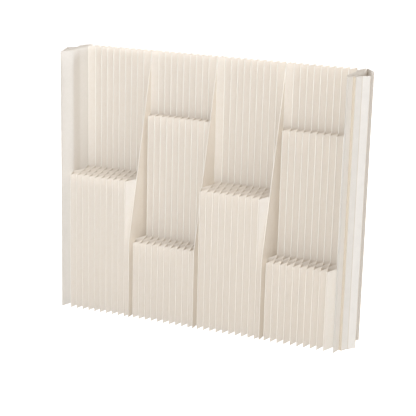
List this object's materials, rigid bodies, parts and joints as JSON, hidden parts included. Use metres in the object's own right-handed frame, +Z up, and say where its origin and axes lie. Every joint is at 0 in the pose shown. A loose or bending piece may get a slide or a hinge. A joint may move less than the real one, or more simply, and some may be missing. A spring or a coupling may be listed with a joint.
{
  "type": "folding paper room divider",
  "caption": "Free-standing honeycomb paper screen: bonded pairs of stepped leaves between slanted divider cards, with folded end covers. Each bay closes like an accordion.",
  "frame": {"origin": "on the floor, at the middle of the overall length and depth", "axes": "+Z up, +X along the screen towards the fanned end cover, -Y towards the stepped front"},
  "size_m": [2.1683, 0.43, 1.8],
  "materials": {
    "leaf_paper": "matte uncoated cream paper",
    "divider_card": "matte uncoated cream card",
    "end_cover": "matte off-white card"
  },
  "bodies": {
    "left_end": {"left_end_cover": "end_cover", "left_end_outer_leaf": "leaf_paper", "left_end_inner_leaf": "leaf_paper", "bay_1_leaf_pair_01": "leaf_paper", "bay_1_leaf_pair_02": "leaf_paper", "bay_1_leaf_pair_03": "leaf_paper", "bay_1_leaf_pair_04": "leaf_paper", "bay_1_leaf_pair_05": "leaf_paper", "bay_1_leaf_pair_06": "leaf_paper", "bay_1_leaf_pair_07": "leaf_paper", "bay_1_leaf_pair_08": "leaf_paper", "bay_1_leaf_pair_09": "leaf_paper", "bay_1_leaf_pair_10": "leaf_paper"},
    "divider_1": {"divider_1_left_card": "divider_card", "divider_1_right_card": "divider_card", "bay_2_leaf_pair_01": "leaf_paper", "bay_2_leaf_pair_02": "leaf_paper", "bay_2_leaf_pair_03": "leaf_paper", "bay_2_leaf_pair_04": "leaf_paper", "bay_2_leaf_pair_05": "leaf_paper", "bay_2_leaf_pair_06": "leaf_paper", "bay_2_leaf_pair_07": "leaf_paper", "bay_2_leaf_pair_08": "leaf_paper", "bay_2_leaf_pair_09": "leaf_paper", "bay_2_leaf_pair_10": "leaf_paper"},
    "divider_2": {"divider_2_left_card": "divider_card", "divider_2_right_card": "divider_card", "bay_3_leaf_pair_01": "leaf_paper", "bay_3_leaf_pair_02": "leaf_paper", "bay_3_leaf_pair_03": "leaf_paper", "bay_3_leaf_pair_04": "leaf_paper", "bay_3_leaf_pair_05": "leaf_paper", "bay_3_leaf_pair_06": "leaf_paper", "bay_3_leaf_pair_07": "leaf_paper", "bay_3_leaf_pair_08": "leaf_paper", "bay_3_leaf_pair_09": "leaf_paper", "bay_3_leaf_pair_10": "leaf_paper"},
    "divider_3": {"divider_3_left_card": "divider_card", "divider_3_right_card": "divider_card", "bay_4_leaf_pair_01": "leaf_paper", "bay_4_leaf_pair_02": "leaf_paper", "bay_4_leaf_pair_03": "leaf_paper", "bay_4_leaf_pair_04": "leaf_paper", "bay_4_leaf_pair_05": "leaf_paper", "bay_4_leaf_pair_06": "leaf_paper", "bay_4_leaf_pair_07": "leaf_paper", "bay_4_leaf_pair_08": "leaf_paper", "bay_4_leaf_pair_09": "leaf_paper", "bay_4_leaf_pair_10": "leaf_paper"},
    "right_end": {"right_end_inner_leaf": "leaf_paper", "right_end_outer_leaf": "leaf_paper", "right_end_cover": "end_cover"}
  },
  "joints": [
    {"name": "bay_1_fold", "type": "slide", "parent": "left_end", "child": "divider_1", "axis": [1, 0, 0], "range_m": [-0.47458, 0], "deforming": ["left_end_inner_leaf", "bay_1_leaf_pair_01", "bay_1_leaf_pair_02", "bay_1_leaf_pair_03", "bay_1_leaf_pair_04", "bay_1_leaf_pair_05", "bay_1_leaf_pair_06", "bay_1_leaf_pair_07", "bay_1_leaf_pair_08", "bay_1_leaf_pair_09", "bay_1_leaf_pair_10"]},
    {"name": "bay_2_fold", "type": "slide", "parent": "divider_1", "child": "divider_2", "axis": [1, 0, 0], "range_m": [-0.44132, 0], "deforming": ["bay_2_leaf_pair_01", "bay_2_leaf_pair_02", "bay_2_leaf_pair_03", "bay_2_leaf_pair_04", "bay_2_leaf_pair_05", "bay_2_leaf_pair_06", "bay_2_leaf_pair_07", "bay_2_leaf_pair_08", "bay_2_leaf_pair_09", "bay_2_leaf_pair_10"]},
    {"name": "bay_3_fold", "type": "slide", "parent": "divider_2", "child": "divider_3", "axis": [1, 0, 0], "range_m": [-0.44132, 0], "deforming": ["bay_3_leaf_pair_01", "bay_3_leaf_pair_02", "bay_3_leaf_pair_03", "bay_3_leaf_pair_04", "bay_3_leaf_pair_05", "bay_3_leaf_pair_06", "bay_3_leaf_pair_07", "bay_3_leaf_pair_08", "bay_3_leaf_pair_09", "bay_3_leaf_pair_10"]},
    {"name": "bay_4_fold", "type": "slide", "parent": "divider_3", "child": "right_end", "axis": [1, 0, 0], "range_m": [-0.47458, 0], "deforming": ["bay_4_leaf_pair_01", "bay_4_leaf_pair_02", "bay_4_leaf_pair_03", "bay_4_leaf_pair_04", "bay_4_leaf_pair_05", "bay_4_leaf_pair_06", "bay_4_leaf_pair_07", "bay_4_leaf_pair_08", "bay_4_leaf_pair_09", "bay_4_leaf_pair_10", "right_end_inner_leaf"]}
  ]
}
